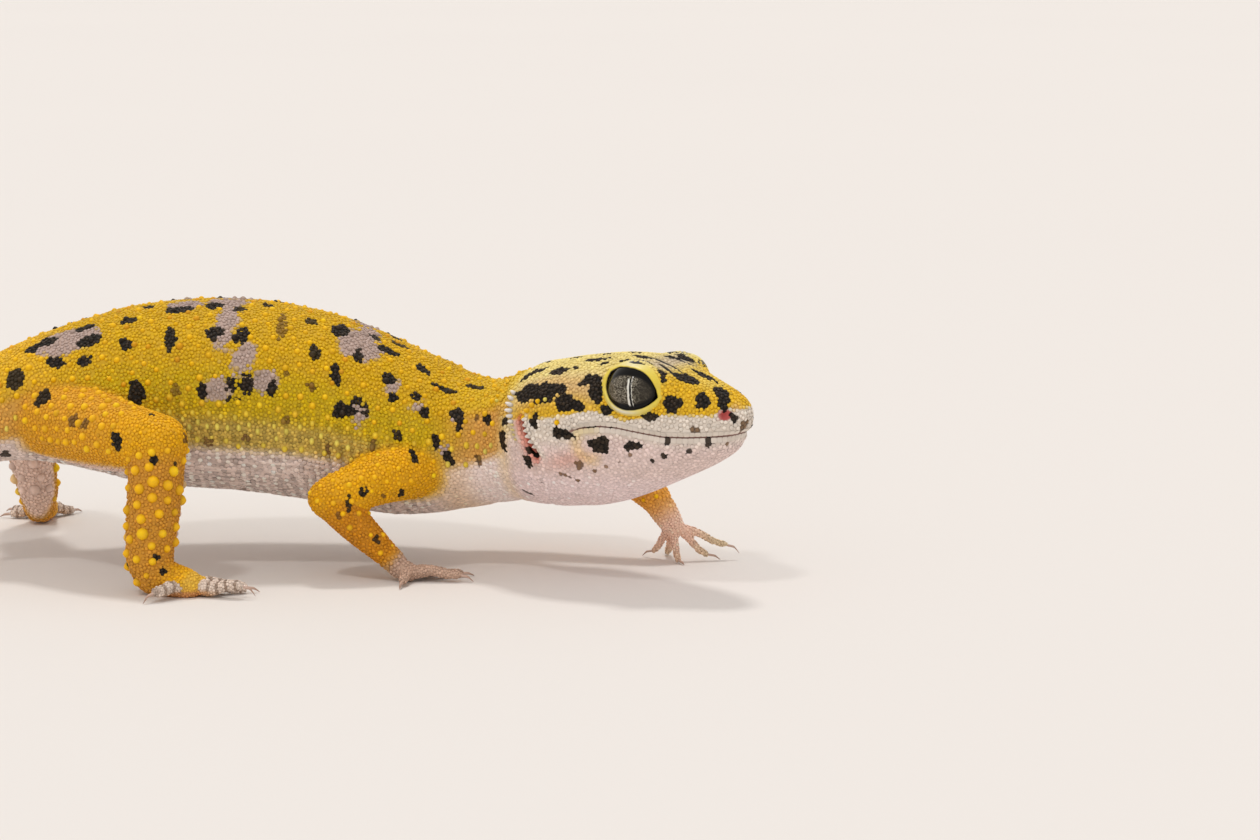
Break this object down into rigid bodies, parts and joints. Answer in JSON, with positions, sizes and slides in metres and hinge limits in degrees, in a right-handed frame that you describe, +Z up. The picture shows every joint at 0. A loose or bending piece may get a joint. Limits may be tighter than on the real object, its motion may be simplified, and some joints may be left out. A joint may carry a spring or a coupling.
{
  "type": "leopard gecko",
  "caption": "Young leopard gecko standing in mid-stride, head turned to one side, spotted yellow back, pale belly, tapering ringed tail resting on the ground.",
  "frame": {"origin": "on the floor under the middle of the animal's bounding box", "axes": "+X along the body toward the snout side, +Z up, the head turned toward -Y"},
  "size_m": [0.153, 0.0604, 0.0311],
  "materials": {
    "skin": "matt scaly hide, yellow with black spots above, greyish pink below",
    "eyelid": "matt, fine scales",
    "eye": "wet gloss",
    "ear": "satin membrane",
    "claw": "horn"
  },
  "bodies": {
    "root": {"eye_right": "eye", "eyelid_right": "eyelid", "ear_right": "ear", "eye_left": "eye", "eyelid_left": "eyelid", "ear_left": "ear", "head": "skin", "lower_jaw": "skin", "neck": "skin", "trunk_front": "skin", "trunk_rear": "skin", "pelvis": "skin", "tail_1": "skin", "tail_2": "skin", "tail_3": "skin", "tail_4": "skin", "tail_5": "skin", "upper_arm_right_fore": "skin", "forearm_right_fore": "skin", "hand_right_fore": "skin", "claw_right_fore_1": "claw", "claw_right_fore_2": "claw", "claw_right_fore_3": "claw", "claw_right_fore_4": "claw", "claw_right_fore_5": "claw", "upper_arm_left_fore": "skin", "forearm_left_fore": "skin", "hand_left_fore": "skin", "claw_left_fore_1": "claw", "claw_left_fore_2": "claw", "claw_left_fore_3": "claw", "claw_left_fore_4": "claw", "claw_left_fore_5": "claw", "thigh_right_hind": "skin", "shank_right_hind": "skin", "foot_right_hind": "skin", "claw_right_hind_1": "claw", "claw_right_hind_2": "claw", "claw_right_hind_3": "claw", "claw_right_hind_4": "claw", "claw_right_hind_5": "claw", "thigh_left_hind": "skin", "shank_left_hind": "skin", "foot_left_hind": "skin", "claw_left_hind_1": "claw", "claw_left_hind_2": "claw", "claw_left_hind_3": "claw", "claw_left_hind_4": "claw", "claw_left_hind_5": "claw"}
  },
  "joints": []
}
